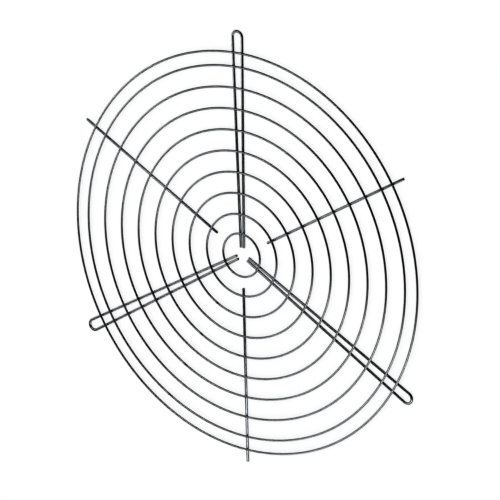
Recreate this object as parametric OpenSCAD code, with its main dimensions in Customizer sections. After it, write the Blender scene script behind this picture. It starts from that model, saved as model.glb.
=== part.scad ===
// Wire fan guard: ten round rings, spot welded on three hairpin mounting arms and three
// straight braces. It lies flat: the arms and braces rest on z = 0 and carry the rings.
// +Z is the fan's axis and points away from the fan. All sizes are in millimetres.

/* [Rings] */
// Outside diameter of the largest ring
guard_d = 484.4; // [440:0.1:560]
// Outside diameter of the smallest ring
hub_ring_d = 54.4; // [46:0.1:64]
// Centre to centre distance of the two smallest rings
hub_gap = 23.5; // [18:0.5:28]
// Centre to centre distance of the two largest rings
rim_gap = 16.5; // [12:0.5:24]
// Diameter of the ring wire
ring_wire_d = 2.4; // [1.8:0.05:3]

/* [Mounting arms] */
// Diameter of the wire of the arms and braces
rib_wire_d = 3; // [2.2:0.05:3.6]
// Distance from the largest ring's centre line to the middle of a bolt loop
loop_reach = 18; // [15:0.5:26]
// Clear width inside a bolt loop
loop_gap = 10.2; // [8:0.1:13]
// Clear gap between the cut ends of an arm's two legs
leg_gap = 1.1; // [0.6:0.05:2.5]
// How far the arms' cut ends lie in from the smallest ring's centre line
arm_inset = 17.5; // [12:0.5:18]

/* [Braces] */
// How far a brace runs out past the largest ring's centre line
brace_overhang = 16; // [8:0.5:24]
// How far a brace runs in past the second ring's centre line
brace_inset = 8.5; // [5:0.5:12]

/* [Welds and ends] */
// How deep each ring is set down into the wires it is welded to
weld_set = 0.4; // [0.1:0.05:0.6]
// How far the butt weld that closes a ring stands proud of its wire
bead_proud = 0.15; // [0.05:0.05:0.3]
// Bevel left round a sheared wire end
cut_bevel = 0.3; // [0.1:0.05:0.5]

/* [Hidden] */

// Number of rings, and of arms and braces round the axis
ring_count = 10;
rib_count = 3;
rib_step = 360 / rib_count;
// The first arm points along +Y, and the first brace halfway to the next arm
first_arm_angle = 90;
first_brace_angle = first_arm_angle + rib_step / 2;

// Centre line radii of the rings: the first and the last gap are set apart, and the
// rings between them share one pitch
hub_ring_r = (hub_ring_d - ring_wire_d) / 2;
rim_ring_r = (guard_d - ring_wire_d) / 2;
second_ring_r = hub_ring_r + hub_gap;
ring_pitch = (rim_ring_r - rim_gap - second_ring_r) / (ring_count - 3);

// Heights of the wires' centre lines
rib_z = rib_wire_d / 2;
ring_z = rib_wire_d + ring_wire_d / 2 - weld_set;

// An arm's legs spread evenly from their cut ends to the bend of the bolt loop
arm_end_r = hub_ring_r - arm_inset;
loop_centre_r = rim_ring_r + loop_reach;
bend_r = (loop_gap + rib_wire_d) / 2;
leg_end_x = (leg_gap + rib_wire_d) / 2;
// Angle of a leg to the arm's middle line, at which it meets the bend without a kink
leg_run = loop_centre_r - arm_end_r;
leg_span = sqrt(leg_run * leg_run + leg_end_x * leg_end_x);
leg_angle = asin(bend_r / leg_span) - atan(leg_end_x / leg_run);
leg_length = sqrt(leg_span * leg_span - bend_r * bend_r);

brace_start_r = second_ring_r - brace_inset;
brace_end_r = rim_ring_r + brace_overhang;

// A ring's butt weld is a little shorter than the wire is thick, and lies midway between
// an arm and a brace
bead_run = 0.8 * ring_wire_d;
first_bead_angle = first_arm_angle + rib_step / 4;

// Smoothness of the wires and of the large ring circles
wire_fn = 40;
ring_fn = 240;

function ring_r(n) = n == 1 ? hub_ring_r
    : n == ring_count ? rim_ring_r
    : second_ring_r + (n - 2) * ring_pitch;

// The butt welds of neighbouring rings lie a third of a turn apart
function bead_angle(n) = first_bead_angle + (n % 2) * rib_step;

// A straight wire along +Z from the origin, bevelled at its sheared ends
module cut_wire(length, start_bevel, end_bevel) {
    r = rib_wire_d / 2;
    profile = [
        [0, 0],
        [r - start_bevel, 0],
        if (start_bevel > 0) [r, start_bevel],
        if (end_bevel > 0) [r, length - end_bevel],
        [r - end_bevel, length],
        [0, length]
    ];
    rotate_extrude($fn = wire_fn)
        polygon(profile);
}

// Turns a piece that points along +Y to the place of arm or brace number n
module at_rib(first_angle, n) {
    rotate([0, 0, first_angle - 90 + (n - 1) * rib_step])
        children();
}

// The frame of a leg: the middle of the bolt loop, turned by the leg's angle
module at_leg() {
    translate([0, loop_centre_r, rib_z])
        rotate([0, 0, -leg_angle])
            children();
}

// A leg, from the end of the bend to its cut end near the fan's axis
module leg() {
    at_leg()
        translate([bend_r, 0, 0])
            rotate([90, 0, 0])
                cut_wire(leg_length, 0, cut_bevel);
}

// A little more than a quarter of a turn, from the end of the leg past the middle plane
module half_bend() {
    at_leg()
        rotate_extrude(angle = 90 + 2 * leg_angle, $fn = ring_fn)
            translate([bend_r, 0])
                circle(d = rib_wire_d, $fn = wire_fn);
}

// Half a hairpin, on the +X side of the arm's middle plane
module half_arm() {
    intersection() {
        union() {
            leg();
            half_bend();
        }
        translate([0, 0, -rib_wire_d])
            cube([guard_d, guard_d, 3 * rib_wire_d]);
    }
}

module both_sides() {
    children();
    mirror([1, 0, 0]) children();
}

// A hairpin arm: one wire from cut end to cut end, bent round into a bolt loop
module arm(n) {
    color("silver")
        at_rib(first_arm_angle, n)
            both_sides() half_arm();
}

// A straight brace between two arms
module brace_wire(n) {
    at_rib(first_brace_angle, n)
        translate([0, brace_start_r, rib_z])
            rotate([-90, 0, 0])
                cut_wire(brace_end_r - brace_start_r, cut_bevel, cut_bevel);
}

module brace(n) {
    color("lightsteelblue") brace_wire(n);
}

// A round wire of diameter d, bent along ring number n through an angle from +X
module bent_wire(n, d, angle) {
    translate([0, 0, ring_z])
        rotate_extrude(angle = angle, $fn = ring_fn)
            translate([ring_r(n), 0])
                circle(d = d, $fn = wire_fn);
}

// The butt weld that closes a ring: a collar a little proud of the wire
module ring_bead(n) {
    bead_span = bead_run / ring_r(n) * 180 / PI;
    rotate([0, 0, bead_angle(n) - bead_span / 2])
        bent_wire(n, ring_wire_d + 2 * bead_proud, bead_span);
}

// A ring, notched where it is set down into the arms and braces that it crosses
module ring(n) {
    color("gainsboro")
        difference() {
            union() {
                bent_wire(n, ring_wire_d, 360);
                ring_bead(n);
            }
            for (i = [1:rib_count]) {
                at_rib(first_arm_angle, i) both_sides() leg();
                if (n > 1) brace_wire(i);
            }
        }
}

ring(1);  // ring_01
ring(2);  // ring_02
ring(3);  // ring_03
ring(4);  // ring_04
ring(5);  // ring_05
ring(6);  // ring_06
ring(7);  // ring_07
ring(8);  // ring_08
ring(9);  // ring_09
ring(10);  // ring_10
arm(1);  // arm_1
arm(2);  // arm_2
arm(3);  // arm_3
brace(1);  // brace_1
brace(2);  // brace_2
brace(3);  // brace_3
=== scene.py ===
import math
import random

import bpy
from bpy.props import FloatProperty, FloatVectorProperty, IntProperty, PointerProperty
from mathutils import Matrix, Vector


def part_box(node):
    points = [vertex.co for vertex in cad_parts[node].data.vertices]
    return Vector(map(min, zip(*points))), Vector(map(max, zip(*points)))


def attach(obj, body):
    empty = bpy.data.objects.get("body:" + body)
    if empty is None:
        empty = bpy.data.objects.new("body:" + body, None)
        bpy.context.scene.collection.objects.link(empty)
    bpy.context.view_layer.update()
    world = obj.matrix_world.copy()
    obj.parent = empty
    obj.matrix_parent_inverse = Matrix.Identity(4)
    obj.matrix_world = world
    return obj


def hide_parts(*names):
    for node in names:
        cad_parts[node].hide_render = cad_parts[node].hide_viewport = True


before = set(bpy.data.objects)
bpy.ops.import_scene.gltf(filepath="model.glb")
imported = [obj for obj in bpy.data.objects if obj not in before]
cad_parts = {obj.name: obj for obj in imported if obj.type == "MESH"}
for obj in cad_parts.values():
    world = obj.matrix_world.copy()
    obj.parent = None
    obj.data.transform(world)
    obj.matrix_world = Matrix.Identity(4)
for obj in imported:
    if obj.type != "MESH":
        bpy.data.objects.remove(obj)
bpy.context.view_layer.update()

# A flat wire fan guard: ten round rings, spot welded on three hairpin mounting arms and
# three straight braces, all of bright plated steel wire. Lengths are in metres.

bl_info = {
    "name": "Wire Fan Guard",
    "version": (1, 0, 0),
    "blender": (4, 5, 0),
    "location": "3D View > Sidebar > Fan Guard",
    "description": "Rebuilds the wires and welds of a fan guard on its frame, with a studio",
    "category": "Mesh",
}

MM = 0.001

RING_NODES = sorted(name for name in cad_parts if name.startswith("ring_"))
ARM_NODES = sorted(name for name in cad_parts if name.startswith("arm_"))
BRACE_NODES = sorted(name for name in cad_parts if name.startswith("brace_"))
RIB_COUNT = len(ARM_NODES)
RIB_STEP = 2 * math.pi / RIB_COUNT
FIRST_ARM = math.pi / 2
FIRST_BRACE = FIRST_ARM + RIB_STEP / 2
BEAD_PROUD = 0.15 * MM
RUN_ATTRIBUTE = "wire_run"


def frame_ring_wire():
    """Diameter of the ring wire: a ring's height without its butt weld."""
    low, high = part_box(RING_NODES[0])
    return high.z - low.z - 2 * BEAD_PROUD


def frame_rib_wire():
    """Diameter of the wire of the arms and braces, which rest on the ground."""
    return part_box(BRACE_NODES[0])[1].z


class WireSizes(bpy.types.PropertyGroup):
    """Sizes of the wires and of what the welding and cutting leave on them."""

    ring_wire: FloatProperty(
        name="Ring wire",
        description="Diameter of the wire of the rings",
        default=frame_ring_wire(),
        precision=5,
        unit="LENGTH",
    )
    rib_wire: FloatProperty(
        name="Arm and brace wire",
        description="Diameter of the wire of the arms and braces",
        default=frame_rib_wire(),
        precision=5,
        unit="LENGTH",
    )
    leg_gap: FloatProperty(
        name="Leg gap",
        description="Clear gap between the cut ends of an arm's two legs",
        default=1.1 * MM,
        precision=5,
        unit="LENGTH",
    )
    bead_proud: FloatProperty(
        name="Butt weld height",
        description="How far the weld that closes a ring stands proud of its wire",
        default=BEAD_PROUD,
        precision=5,
        unit="LENGTH",
    )
    electrode_flat: FloatProperty(
        name="Electrode flat",
        description="How deep the welding electrode presses a flat on top of a ring",
        default=0.12 * MM,
        precision=5,
        unit="LENGTH",
    )
    weld_reach: FloatProperty(
        name="Weld reach",
        description="Half the length of ring wire that a spot weld squeezes",
        default=1.1 * MM,
        precision=5,
        unit="LENGTH",
    )
    cut_bevel: FloatProperty(
        name="Cut edge",
        description="Width of the rolled edge round a sheared wire end",
        default=0.3 * MM,
        precision=5,
        unit="LENGTH",
    )
    shear_tilt: FloatProperty(
        name="Shear tilt",
        description="Angle by which a sheared end leans from square",
        default=math.radians(6),
        subtype="ANGLE",
    )
    section_sides: IntProperty(
        name="Section sides",
        description="Sides of a wire's round section",
        default=20,
        min=8,
    )


class WireFinish(bpy.types.PropertyGroup):
    """Colours and gloss of the plated steel wire."""

    plate_colour: FloatVectorProperty(
        name="Plating",
        description="Colour of the bright plating",
        default=(0.47, 0.495, 0.52),
        subtype="COLOR",
        min=0,
        max=1,
    )
    worn_colour: FloatVectorProperty(
        name="Dull plating",
        description="Colour where the plating is thinner or dulled",
        default=(0.42, 0.44, 0.47),
        subtype="COLOR",
        min=0,
        max=1,
    )
    weld_colour: FloatVectorProperty(
        name="Weld",
        description="Colour of the squeezed metal at the spot welds",
        default=(0.62, 0.62, 0.63),
        subtype="COLOR",
        min=0,
        max=1,
    )
    gloss: FloatProperty(
        name="Roughness",
        description="Roughness of the clean drawn wire",
        default=0.28,
        min=0,
        max=1,
    )
    line_depth: FloatProperty(
        name="Draw line depth",
        description="Depth of the fine lines left by the drawing die",
        default=0.006 * MM,
        precision=6,
        unit="LENGTH",
    )


class StudioSettings(bpy.types.PropertyGroup):
    """The floor, the light and the camera."""

    floor_colour: FloatVectorProperty(
        name="Floor",
        description="Colour of the floor",
        default=(0.9, 0.9, 0.9),
        subtype="COLOR",
        min=0,
        max=1,
    )
    sky_light: FloatProperty(
        name="Sky light",
        description="Strength of the light from all round that throws the soft shadows",
        default=0.3,
        min=0,
    )
    fill_light: FloatProperty(
        name="Fill light",
        description="Strength of the even light from above that throws no shadow",
        default=2.65,
        min=0,
    )
    backdrop: FloatProperty(
        name="Backdrop",
        description="Brightness of the backdrop behind the floor",
        default=1.0,
        min=0,
    )
    print_gamma: FloatProperty(
        name="Print gamma",
        description="Gamma of the picture: under 1 it prints thin dark wires firmly",
        default=0.65,
        min=0.3,
        max=1.5,
    )
    room_dark: FloatProperty(
        name="Dark room",
        description="Brightness of the room as the polished wire mirrors it",
        default=0.004,
        min=0,
    )
    camera_azimuth: FloatProperty(
        name="Camera azimuth",
        description="Direction of the camera from the guard, round +Z from +X",
        default=math.radians(29.92),
        subtype="ANGLE",
    )
    camera_elevation: FloatProperty(
        name="Camera elevation",
        description="Height of the camera over the floor, as an angle",
        default=math.radians(49.70),
        subtype="ANGLE",
    )
    camera_roll: FloatProperty(
        name="Camera roll",
        description="Turn of the camera about its own line of sight",
        default=math.radians(-115.1),
        subtype="ANGLE",
    )
    camera_distance: FloatProperty(
        name="Camera distance",
        description="Distance from the camera to the point it looks at",
        default=3.687,
        unit="LENGTH",
    )
    camera_aim: FloatVectorProperty(
        name="Camera aim",
        description="Point that the camera looks at",
        default=(0.0099, 0.0073, 0.0005),
        precision=5,
        subtype="XYZ",
    )
    lens: FloatProperty(
        name="Lens",
        description="Focal length in millimetres on a 36 mm sensor",
        default=231.2,
    )


# ---------------------------------------------------------------- the guard's layout


def ring_radius(node):
    """Centre line radius of a ring, from its frame node."""
    low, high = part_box(node)
    reach = max(high.x, high.y, -low.x, -low.y)
    return reach - bpy.context.scene.guard_wires.ring_wire / 2


def ring_height():
    low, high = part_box(RING_NODES[0])
    return (low.z + high.z) / 2


class ArmPath:
    """The centre line of the arm that points along +Y: two legs and a half turn."""

    def __init__(self):
        sizes = bpy.context.scene.guard_wires
        low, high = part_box(ARM_NODES[0])
        half_wire = sizes.rib_wire / 2
        self.height = half_wire
        self.bend_r = high.x - half_wire
        self.bend_centre = Vector((0, high.y - half_wire - self.bend_r, half_wire))
        leg_end_x = sizes.leg_gap / 2 + half_wire
        run = self.bend_centre.y - low.y
        span = math.hypot(run, leg_end_x)
        self.spread = math.asin(self.bend_r / span) - math.atan(leg_end_x / run)
        self.leg_length = math.sqrt(span**2 - self.bend_r**2)
        self.along = Vector((math.sin(self.spread), math.cos(self.spread), 0))
        across = Vector((math.cos(self.spread), -math.sin(self.spread), 0))
        self.bend_start = self.bend_centre + self.bend_r * across
        self.cut = self.bend_start - self.leg_length * self.along

    def leg_x(self, distance):
        """How far a leg lies from the arm's middle line, this far from the axis."""
        return self.cut.x + (distance - self.cut.y) * math.tan(self.spread)


def brace_reach():
    """Distances from the axis to the two ends of a brace."""
    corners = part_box(BRACE_NODES[0])
    ends = []
    for corner in corners:
        along = Vector((math.cos(FIRST_BRACE), math.sin(FIRST_BRACE), 0))
        ends.append(abs(corner.x * along.x) + abs(corner.y * along.y))
    return min(ends), max(ends)


def crossings(radius, path):
    """Angles at which a ring crosses the legs of the arms, and the braces if it does."""
    found = []
    inner, outer = brace_span()
    leg_turn = math.asin(path.leg_x(radius) / radius)
    for turn in range(RIB_COUNT):
        arm = FIRST_ARM + turn * RIB_STEP
        found.append(arm - leg_turn)
        found.append(arm + leg_turn)
        if inner < radius < outer:
            found.append(FIRST_BRACE + turn * RIB_STEP)
    return found


def brace_span():
    """Distances from the axis to the ends of the brace that points along -Y."""
    low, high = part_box(BRACE_NODES[1])
    return -high.y, -low.y


def bead_angle(index):
    """Where ring number index is closed: neighbouring rings differ by a third of a turn."""
    return FIRST_ARM + RIB_STEP / 4 + (index % 2) * RIB_STEP


# ---------------------------------------------------------------- modelling by operators


def deselect_all():
    if bpy.context.object and bpy.context.object.mode != "OBJECT":
        bpy.ops.object.mode_set(mode="OBJECT")
    bpy.ops.object.select_all(action="DESELECT")


def start_wire(name, centre, diameter, heading):
    """Adds a wire's round section across its heading and opens it for editing."""
    deselect_all()
    bpy.ops.mesh.primitive_circle_add(
        vertices=bpy.context.scene.guard_wires.section_sides,
        radius=diameter / 2,
        location=centre,
        rotation=(math.pi / 2, 0, heading + math.pi / 2),
        fill_type="NOTHING",
    )
    wire = bpy.context.object
    wire.name = name
    wire.data.name = name
    bpy.ops.object.transform_apply(location=True, rotation=True, scale=True)
    bpy.ops.object.mode_set(mode="EDIT")
    bpy.ops.mesh.select_all(action="SELECT")
    return wire


def turn_section(angle, steps, centre):
    """Sweeps the selected section anticlockwise round a vertical axis."""
    bpy.ops.mesh.spin(
        steps=steps,
        angle=-angle,
        use_auto_merge=False,
        center=centre,
        axis=(0, 0, 1),
    )


def push_section(move):
    """Sweeps the selected section straight on."""
    bpy.ops.mesh.extrude_region_move(TRANSFORM_OT_translate={"value": move})


def widen_section(side, height, centre):
    """Scales the selected section sideways and in height about its centre."""
    bpy.ops.transform.resize(value=(side, side, height), center_override=centre)


def select_vertices(wire, wanted):
    """Selects the vertices whose place passes a test, and opens the wire for editing."""
    bpy.ops.object.mode_set(mode="EDIT")
    bpy.ops.mesh.select_all(action="DESELECT")
    bpy.ops.mesh.select_mode(type="VERT")
    bpy.ops.object.mode_set(mode="OBJECT")
    for vertex in wire.data.vertices:
        vertex.select = wanted(vertex.co)
    bpy.ops.object.mode_set(mode="EDIT")


def press_flat(wire, wanted, height):
    """Presses the chosen vertices flat at one height."""
    select_vertices(wire, wanted)
    bpy.ops.transform.resize(value=(1, 1, 0), center_override=(0, 0, height))


def shear_end(place, outward, bevel):
    """Cuts the wire off with a plane, closes the cut and rolls its edge over."""
    bpy.ops.mesh.select_all(action="SELECT")
    bpy.ops.mesh.bisect(
        plane_co=place,
        plane_no=outward,
        use_fill=True,
        clear_outer=True,
    )
    bpy.ops.mesh.bevel(offset=bevel, segments=3, affect="EDGES")


def finish_mesh(wire):
    """Merges doubled vertices, turns all faces outwards and smooths the shading."""
    bpy.ops.mesh.select_all(action="SELECT")
    bpy.ops.mesh.remove_doubles(threshold=0.005 * MM)
    bpy.ops.mesh.normals_make_consistent(inside=False)
    bpy.ops.object.mode_set(mode="OBJECT")
    bpy.ops.object.shade_smooth_by_angle(angle=math.radians(40))


def turned_copy(model, name, angle):
    """A copy with its own mesh, turned about the fan's axis."""
    deselect_all()
    model.select_set(True)
    bpy.context.view_layer.objects.active = model
    bpy.ops.object.duplicate(linked=False)
    copy = bpy.context.object
    copy.name = name
    copy.data.name = name
    copy.rotation_euler.z = angle
    bpy.ops.object.transform_apply(location=True, rotation=True, scale=True)
    return copy


def mark_run(wire, place):
    """Writes each vertex's place on the wire: across, up and along it."""
    runs = wire.data.attributes.new(RUN_ATTRIBUTE, "FLOAT_VECTOR", "POINT")
    for vertex, run in zip(wire.data.vertices, runs.data):
        run.vector = place(vertex.co)


def hand_over(wire, node, material):
    """The finished wire stands for its frame node and moves with the guard."""
    wire.data.materials.clear()
    wire.data.materials.append(material)
    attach(wire, "root")
    if node:
        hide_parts(node)


# ---------------------------------------------------------------- materials


class Level:
    """A number that varies over a surface, as a socket with arithmetic."""

    def __init__(self, finish, socket):
        self.finish = finish
        self.socket = socket

    def maths(self, operation, *others):
        values = dict(enumerate((self, *others)))
        node = self.finish.node("ShaderNodeMath", {"operation": operation}, values)
        return Level(self.finish, node.outputs[0])

    def reflected(self, operation, first):
        settings = {"operation": operation}
        node = self.finish.node("ShaderNodeMath", settings, {0: first, 1: self})
        return Level(self.finish, node.outputs[0])

    def __add__(self, other):
        return self.maths("ADD", other)

    __radd__ = __add__

    def __sub__(self, other):
        return self.maths("SUBTRACT", other)

    def __rsub__(self, other):
        return self.reflected("SUBTRACT", other)

    def __mul__(self, other):
        return self.maths("MULTIPLY", other)

    __rmul__ = __mul__

    def __truediv__(self, other):
        return self.maths("DIVIDE", other)

    def ramp(self, low, high):
        """0 below low and 1 above high, with a smooth change between them."""
        settings = {"interpolation_type": "SMOOTHSTEP"}
        inputs = {"Value": self, "From Min": low, "From Max": high}
        node = self.finish.node("ShaderNodeMapRange", settings, inputs)
        return Level(self.finish, node.outputs["Result"])


class Finish:
    """A material's node tree, built one node at a time."""

    def __init__(self, name):
        self.material = bpy.data.materials.new(name)
        self.material.use_nodes = True
        self.tree = self.material.node_tree
        self.tree.nodes.clear()

    def node(self, kind, settings=None, inputs=None):
        """Adds a node: its settings are set first, then its sockets' values or links."""
        made = self.tree.nodes.new(kind)
        for name, value in (settings or {}).items():
            setattr(made, name, value)
        for name, value in (inputs or {}).items():
            socket = value.socket if isinstance(value, Level) else value
            if isinstance(socket, bpy.types.NodeSocket):
                self.tree.links.new(socket, made.inputs[name])
            else:
                made.inputs[name].default_value = socket
        return made

    def noise(self, vector, scale, detail):
        inputs = {"Vector": vector, "Scale": scale, "Detail": detail}
        node = self.node("ShaderNodeTexNoise", {}, inputs)
        return Level(self, node.outputs["Fac"])

    def stretched(self, vector, scale):
        """A vector scaled apart on its three axes."""
        settings = {"operation": "MULTIPLY"}
        node = self.node("ShaderNodeVectorMath", settings, {0: vector, 1: scale})
        return node.outputs["Vector"]

    def blend(self, share, first, second):
        """A colour between two others."""
        settings = {"data_type": "RGBA"}
        inputs = {"Factor": share, "A": first, "B": second}
        node = self.node("ShaderNodeMix", settings)
        for socket in node.inputs:
            if socket.enabled and socket.name in inputs:
                value = inputs[socket.name]
                if isinstance(value, Level):
                    self.tree.links.new(value.socket, socket)
                elif isinstance(value, bpy.types.NodeSocket):
                    self.tree.links.new(value, socket)
                else:
                    socket.default_value = value
        return next(s for s in node.outputs if s.enabled)

    def surface(self, inputs):
        shader = self.node("ShaderNodeBsdfPrincipled", {}, inputs)
        self.node("ShaderNodeOutputMaterial", {}, {"Surface": shader.outputs["BSDF"]})
        return self.material


def rgba(colour):
    return (*colour, 1.0)


def plated_wire(name, dullness):
    """Bright plating on drawn wire: fine lines along it, with duller and thinner patches."""
    look = bpy.context.scene.guard_finish
    finish = Finish(name)
    place = finish.node("ShaderNodeTexCoord").outputs["Object"]
    run = finish.node("ShaderNodeAttribute", {"attribute_name": RUN_ATTRIBUTE})
    lines_at = finish.stretched(run.outputs["Vector"], (1.0, 1.0, 0.02))
    lines = finish.noise(lines_at, 4000.0, 2.0)
    patches = finish.noise(place, 60.0, 3.0)
    dull = (patches.ramp(0.45, 0.75) * 0.6 + dullness) * (lines.ramp(0.3, 0.7) * 0.5 + 0.5)
    colour = finish.blend(dull, rgba(look.plate_colour), rgba(look.worn_colour))
    depth = look.line_depth
    bump_inputs = {"Height": lines, "Distance": depth, "Strength": 1.0}
    bump = finish.node("ShaderNodeBump", {}, bump_inputs)
    return finish.surface(
        {
            "Base Color": colour,
            "Metallic": 1.0,
            "Roughness": dull * 0.1 + look.gloss,
            "Normal": bump.outputs["Normal"],
        }
    )


def weld_metal():
    """Metal squeezed out at a spot weld, bright under the plating."""
    look = bpy.context.scene.guard_finish
    finish = Finish("spot_weld")
    place = finish.node("ShaderNodeTexCoord").outputs["Object"]
    grain = finish.noise(place, 900.0, 3.0)
    colour = finish.blend(grain.ramp(0.35, 0.7), rgba(look.weld_colour), rgba(look.plate_colour))
    bump_inputs = {"Height": grain, "Distance": 0.05 * MM, "Strength": 0.6}
    bump = finish.node("ShaderNodeBump", {}, bump_inputs)
    return finish.surface(
        {
            "Base Color": colour,
            "Metallic": 1.0,
            "Roughness": grain * 0.2 + 0.3,
            "Normal": bump.outputs["Normal"],
        }
    )


def floor_paper():
    """Matt white paper, hardly uneven."""
    finish = Finish("floor_paper")
    place = finish.node("ShaderNodeTexCoord").outputs["Object"]
    mottle = finish.noise(place, 3.0, 2.0)
    pale = bpy.context.scene.guard_studio.floor_colour
    shade = tuple(channel * 0.985 for channel in pale)
    colour = finish.blend(mottle.ramp(0.3, 0.7), rgba(pale), rgba(shade))
    return finish.surface(
        {"Base Color": colour, "Roughness": 1.0, "Specular IOR Level": 0.0}
    )


# ---------------------------------------------------------------- operators


class GUARD_OT_add_rings(bpy.types.Operator):
    """Bends the ten rings, with their butt welds and the flats of the spot welds"""

    bl_idname = "guard.add_rings"
    bl_label = "Add Rings"

    def execute(self, context):
        material = plated_wire("ring_plating", 0.1)
        path = ArmPath()
        for index, node in enumerate(RING_NODES, start=1):
            self.bend_ring(index, node, path, material)
        return {"FINISHED"}

    def stations(self, index, radius, path):
        """Turns from the butt weld at which the section changes, with its size there."""
        sizes = bpy.context.scene.guard_wires
        start = bead_angle(index)
        bead = 1 + 2 * sizes.bead_proud / sizes.ring_wire
        bead_half = 0.4 * sizes.ring_wire / radius
        reach = sizes.weld_reach / radius
        full = 2 * math.pi
        found = [(0.7 * bead_half, bead, bead), (bead_half, 1, 1)]
        found += [(full - bead_half, 1, 1), (full - 0.7 * bead_half, bead, bead)]
        found += [(full, bead, bead)]
        for angle in crossings(radius, path):
            turn = (angle - start) % full
            found += [(turn - 1.5 * reach, 1, 1), (turn - reach, 1.03, 1)]
            found += [(turn, 1.05, 1), (turn + reach, 1.03, 1), (turn + 1.5 * reach, 1, 1)]
        return start, bead, sorted(found)

    def bend_ring(self, index, node, path, material):
        sizes = bpy.context.scene.guard_wires
        radius = ring_radius(node)
        height = ring_height()
        start, bead, stations = self.stations(index, radius, path)
        centre = Vector((radius * math.cos(start), radius * math.sin(start), height))
        name = f"ring_wire_{index:02d}"
        ring = start_wire(name, centre, sizes.ring_wire * bead, start + math.pi / 2)
        longest_step = 2 * math.acos(1 - 0.02 * MM / radius)
        turned, side, tall = 0.0, bead, bead
        for turn, next_side, next_tall in stations:
            steps = max(1, math.ceil((turn - turned) / longest_step))
            turn_section(turn - turned, steps, (0, 0, height))
            angle = start + turn
            centre = (radius * math.cos(angle), radius * math.sin(angle), height)
            if (next_side, next_tall) != (side, tall):
                widen_section(next_side / side, next_tall / tall, centre)
            turned, side, tall = turn, next_side, next_tall
        finish_mesh(ring)
        self.press_welds(ring, radius, path, height)
        mark_run(ring, self.place_on_ring(radius, height, start))
        hand_over(ring, node, material)

    def press_welds(self, ring, radius, path, height):
        """The electrode's flat on top of each weld, and the seat on the wire below."""
        sizes = bpy.context.scene.guard_wires
        spots = [
            Vector((radius * math.cos(angle), radius * math.sin(angle)))
            for angle in crossings(radius, path)
        ]
        reach = sizes.weld_reach + 0.6 * sizes.ring_wire
        top = height + sizes.ring_wire / 2 - sizes.electrode_flat
        seat = sizes.rib_wire - 0.5 * (sizes.rib_wire - (height - sizes.ring_wire / 2))
        half_reach = 1.02 * sizes.weld_reach

        def near_weld(place):
            for spot in spots:
                if (place.xy - spot).length < reach:
                    along = Vector((-spot.y, spot.x)) / radius
                    return abs((place.xy - spot).dot(along)) < half_reach
            return False

        press_flat(ring, lambda place: place.z > top and near_weld(place), top)
        press_flat(ring, lambda place: place.z < seat and near_weld(place), seat)
        bpy.ops.object.mode_set(mode="OBJECT")

    def place_on_ring(self, radius, height, start):
        def place(at):
            turn = (math.atan2(at.y, at.x) - start) % (2 * math.pi)
            return (at.xy.length - radius, at.z - height, turn * radius)

        return place


class GUARD_OT_add_arms(bpy.types.Operator):
    """Bends the three hairpin arms whose closed ends are bolt loops"""

    bl_idname = "guard.add_arms"
    bl_label = "Add Arms"

    def execute(self, context):
        material = plated_wire("arm_plating", 0.0)
        model = self.bend_arm()
        copies = [turned_copy(model, f"arm_wire_{i + 1}", i * RIB_STEP) for i in (1, 2)]
        for arm, node in zip((model, *copies), ARM_NODES):
            hand_over(arm, node, material)
        return {"FINISHED"}

    def bend_arm(self):
        sizes = bpy.context.scene.guard_wires
        path = ArmPath()
        spare = sizes.rib_wire
        heading = math.atan2(path.along.y, path.along.x)
        begin = path.cut - spare * path.along
        arm = start_wire("arm_wire_1", begin, sizes.rib_wire, heading)
        push_section(path.bend_start - begin)
        half_turn = math.pi + 2 * path.spread
        turn_section(half_turn, 32, path.bend_centre)
        back = Vector((path.along.x, -path.along.y, 0))
        push_section(back * (path.leg_length + spare))
        lean = math.tan(sizes.shear_tilt)
        shear_end(path.cut, Vector((-path.along.x, -path.along.y, lean)), sizes.cut_bevel)
        other_cut = Vector((-path.cut.x, path.cut.y, path.cut.z))
        outward = Vector((path.along.x, -path.along.y, lean))
        shear_end(other_cut, outward, sizes.cut_bevel)
        finish_mesh(arm)
        mark_run(arm, self.place_on_arm(path))
        return arm

    def place_on_arm(self, path):
        def place(at):
            if at.y > path.bend_start.y:
                from_centre = at - path.bend_centre
                turn = math.atan2(from_centre.y, from_centre.x)
                across = from_centre.xy.length - path.bend_r
                return (across, at.z - path.height, path.bend_r * turn)
            side = math.copysign(1, at.x)
            across = abs(at.x) - path.leg_x(at.y)
            along = side * (at.y - path.bend_start.y)
            return (across, at.z - path.height, along)

        return place


class GUARD_OT_add_braces(bpy.types.Operator):
    """Cuts the three straight braces"""

    bl_idname = "guard.add_braces"
    bl_label = "Add Braces"

    def execute(self, context):
        material = plated_wire("brace_plating", 0.25)
        model = self.cut_brace()
        turn = FIRST_BRACE - FIRST_ARM
        braces = [
            turned_copy(model, f"brace_wire_{i + 1}", turn + i * RIB_STEP)
            for i in range(RIB_COUNT)
        ]
        bpy.data.objects.remove(model)
        for brace, node in zip(braces, BRACE_NODES):
            hand_over(brace, node, material)
        return {"FINISHED"}

    def cut_brace(self):
        sizes = bpy.context.scene.guard_wires
        inner, outer = brace_span()
        spare = sizes.rib_wire
        height = sizes.rib_wire / 2
        begin = Vector((0, inner - spare, height))
        brace = start_wire("brace_model", begin, sizes.rib_wire, math.pi / 2)
        push_section(Vector((0, outer - inner + 2 * spare, 0)))
        lean = math.tan(sizes.shear_tilt)
        shear_end(Vector((0, inner, height)), Vector((0, -1, lean)), sizes.cut_bevel)
        shear_end(Vector((0, outer, height)), Vector((0, 1, lean)), sizes.cut_bevel)
        finish_mesh(brace)
        mark_run(brace, lambda at: (at.x, at.z - height, at.y))
        return brace


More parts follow.
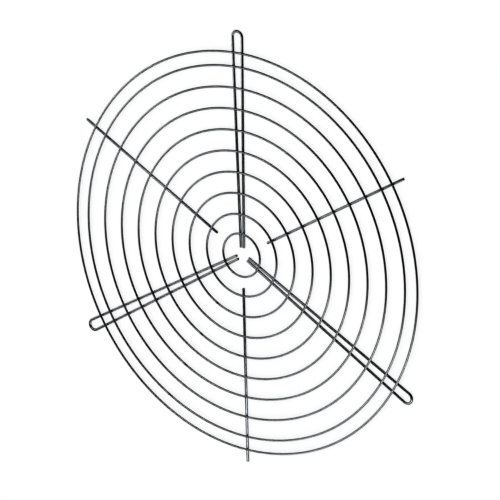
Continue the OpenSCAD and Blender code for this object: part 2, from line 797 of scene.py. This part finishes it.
class GUARD_OT_add_welds(bpy.types.Operator):
    """Squeezes a little metal out at every crossing of a ring and a wire below it"""

    bl_idname = "guard.add_welds"
    bl_label = "Add Welds"

    def execute(self, context):
        material = weld_metal()
        model = self.weld_model()
        path = ArmPath()
        chance = random.Random(7)
        for index, node in enumerate(RING_NODES, start=1):
            self.weld_ring(index, node, path, model, material, chance)
        bpy.data.objects.remove(model)
        return {"FINISHED"}

    def weld_model(self):
        """One collar of squeezed metal, with its longer way along the wire below."""
        sizes = bpy.context.scene.guard_wires
        deselect_all()
        bpy.ops.mesh.primitive_uv_sphere_add(segments=12, ring_count=6, radius=1)
        model = bpy.context.object
        model.scale = (0.62 * sizes.rib_wire, 0.52 * sizes.rib_wire, 0.2 * sizes.rib_wire)
        bpy.ops.object.transform_apply(location=True, rotation=True, scale=True)
        bpy.ops.object.mode_set(mode="EDIT")
        bpy.ops.mesh.select_all(action="SELECT")
        bpy.ops.mesh.bisect(
            plane_co=(0, 0, -0.12 * sizes.rib_wire),
            plane_no=(0, 0, -1),
            use_fill=True,
            clear_outer=True,
        )
        bpy.ops.mesh.normals_make_consistent(inside=False)
        bpy.ops.object.mode_set(mode="OBJECT")
        bpy.ops.object.shade_smooth_by_angle(angle=math.radians(50))
        return model

    def weld_ring(self, index, node, path, model, material, chance):
        sizes = bpy.context.scene.guard_wires
        radius = ring_radius(node)
        height = (sizes.rib_wire + ring_height() - sizes.ring_wire / 2) / 2
        copies = []
        for angle in crossings(radius, path):
            deselect_all()
            model.select_set(True)
            bpy.context.view_layer.objects.active = model
            bpy.ops.object.duplicate(linked=False)
            weld = bpy.context.object
            weld.location = (radius * math.cos(angle), radius * math.sin(angle), height)
            weld.rotation_euler.z = angle + chance.uniform(-0.1, 0.1)
            size = chance.uniform(0.94, 1.06)
            weld.scale = (size, chance.uniform(0.94, 1.06), size)
            copies.append(weld)
        deselect_all()
        for weld in copies:
            weld.select_set(True)
        bpy.context.view_layer.objects.active = copies[0]
        bpy.ops.object.transform_apply(location=True, rotation=True, scale=True)
        bpy.ops.object.join()
        welds = bpy.context.object
        welds.name = f"spot_welds_{index:02d}"
        welds.data.name = welds.name
        hand_over(welds, None, material)


class GUARD_OT_set_stage(bpy.types.Operator):
    """Lays the floor and sets up the light and the camera"""

    bl_idname = "guard.set_stage"
    bl_label = "Set Stage"

    def execute(self, context):
        self.lay_floor()
        self.light_room()
        self.place_camera()
        return {"FINISHED"}

    def lay_floor(self):
        deselect_all()
        bpy.ops.mesh.primitive_plane_add(size=40)
        floor = bpy.context.object
        floor.name = "floor"
        floor.data.materials.append(floor_paper())
        floor.visible_glossy = False

    def light_room(self):
        studio = bpy.context.scene.guard_studio
        world = bpy.data.worlds.new("studio_room")
        bpy.context.scene.world = world
        world.use_nodes = True
        tree = world.node_tree
        ray = tree.nodes.new("ShaderNodeLightPath")
        level = self.switch(tree, ray.outputs["Is Glossy Ray"], studio.sky_light, studio.room_dark)
        level = self.switch(tree, ray.outputs["Is Camera Ray"], level, studio.backdrop)
        background = tree.nodes["Background"]
        background.inputs["Color"].default_value = (1, 1, 1, 1)
        tree.links.new(level, background.inputs["Strength"])
        self.add_soft_box("back_box", (0, 2.9, 0.78), (0, 0, 0), 1.72, 0.93)
        self.add_soft_box("left_box", (-2.9, 0, 0.78), (0, 0, 0), 1.72, 1.15)
        near_end = (0, -0.2, 0)
        self.add_soft_box("front_card", (-0.25, -0.75, 0.25), near_end, 0.3, 2.67)
        self.add_soft_box("low_card", (0, -0.45, 0.3), near_end, 0.3, 1.43)
        self.add_soft_box("right_card", (0.25, -0.45, 0.3), near_end, 0.3, 1.97)
        self.add_soft_box("far_right_card", (0.5, -0.45, 0.3), near_end, 0.3, 2.85)
        left_side = (-0.15, 0.1, 0)
        self.add_soft_box("left_card", (-0.6, 0.1, 0.3), left_side, 0.3, 1.35)
        self.add_soft_box("high_card", (-0.3, 0.1, 0.5), left_side, 0.3, 2.72)
        self.add_fill()

    def switch(self, tree, share, first, second):
        """A level that changes from the first to the second for one kind of ray."""
        node = tree.nodes.new("ShaderNodeMix")
        node.data_type = "FLOAT"
        tree.links.new(share, node.inputs["Factor"])
        for name, value in (("A", first), ("B", second)):
            if isinstance(value, bpy.types.NodeSocket):
                tree.links.new(value, node.inputs[name])
            else:
                node.inputs[name].default_value = value
        return node.outputs["Result"]

    def add_soft_box(self, name, place, aim, size, brightness):
        """A round soft light that only the plated wire mirrors."""
        bpy.ops.object.light_add(type="AREA", location=place)
        light = bpy.context.object
        light.name = name
        light.data.shape = "DISK"
        light.data.size = size
        light.data.energy = brightness * math.pi * math.pi * (size / 2) ** 2
        back = Vector(place) - Vector(aim)
        light.rotation_euler = back.to_track_quat("Z", "Y").to_euler()
        light.visible_diffuse = False
        light.visible_camera = False

    def add_fill(self):
        """Even light on the floor that throws no shadow, so the contact shadows stay faint."""
        bpy.ops.object.light_add(type="SUN")
        light = bpy.context.object
        light.name = "fill_light"
        light.data.energy = bpy.context.scene.guard_studio.fill_light
        light.data.use_shadow = False
        light.visible_glossy = False

    def direction(self, azimuth, elevation):
        flat = math.cos(elevation)
        return Vector((flat * math.cos(azimuth), flat * math.sin(azimuth), math.sin(elevation)))

    def place_camera(self):
        studio = bpy.context.scene.guard_studio
        back = self.direction(studio.camera_azimuth, studio.camera_elevation)
        right = Vector((-math.sin(studio.camera_azimuth), math.cos(studio.camera_azimuth), 0))
        up = back.cross(right)
        turn = Matrix((right, up, back)).transposed().to_4x4()
        turn = turn @ Matrix.Rotation(studio.camera_roll, 4, "Z")
        aim = Vector(studio.camera_aim)
        place = Matrix.Translation(aim + studio.camera_distance * back)
        bpy.ops.object.camera_add()
        camera = bpy.context.object
        camera.name = "camera"
        camera.matrix_world = place @ turn
        camera.data.sensor_width = 36
        camera.data.lens = studio.lens
        bpy.context.scene.camera = camera
        bpy.context.scene.view_settings.view_transform = "Standard"
        bpy.context.scene.view_settings.gamma = studio.print_gamma


OPERATORS = (
    GUARD_OT_set_stage,
    GUARD_OT_add_rings,
    GUARD_OT_add_arms,
    GUARD_OT_add_braces,
    GUARD_OT_add_welds,
)


class GUARD_PT_sidebar(bpy.types.Panel):
    """Lists the steps that build the guard"""

    bl_idname = "GUARD_PT_sidebar"
    bl_label = "Fan Guard"
    bl_space_type = "VIEW_3D"
    bl_region_type = "UI"
    bl_category = "Fan Guard"

    def draw(self, context):
        scene = context.scene
        for group in (scene.guard_wires, scene.guard_finish, scene.guard_studio):
            box = self.layout.box()
            for name in group.__annotations__:
                box.prop(group, name)
        for operator in OPERATORS:
            self.layout.operator(operator.bl_idname)


GROUPS = {
    "guard_wires": WireSizes,
    "guard_finish": WireFinish,
    "guard_studio": StudioSettings,
}


def register():
    for name, group in GROUPS.items():
        bpy.utils.register_class(group)
        setattr(bpy.types.Scene, name, PointerProperty(type=group))
    for operator in OPERATORS:
        bpy.utils.register_class(operator)
    bpy.utils.register_class(GUARD_PT_sidebar)


def unregister():
    bpy.utils.unregister_class(GUARD_PT_sidebar)
    for operator in reversed(OPERATORS):
        bpy.utils.unregister_class(operator)
    for name, group in GROUPS.items():
        delattr(bpy.types.Scene, name)
        bpy.utils.unregister_class(group)


def main():
    register()
    bpy.ops.guard.set_stage()
    bpy.ops.guard.add_rings()
    bpy.ops.guard.add_arms()
    bpy.ops.guard.add_braces()
    bpy.ops.guard.add_welds()


if __name__ == "__main__":
    main()
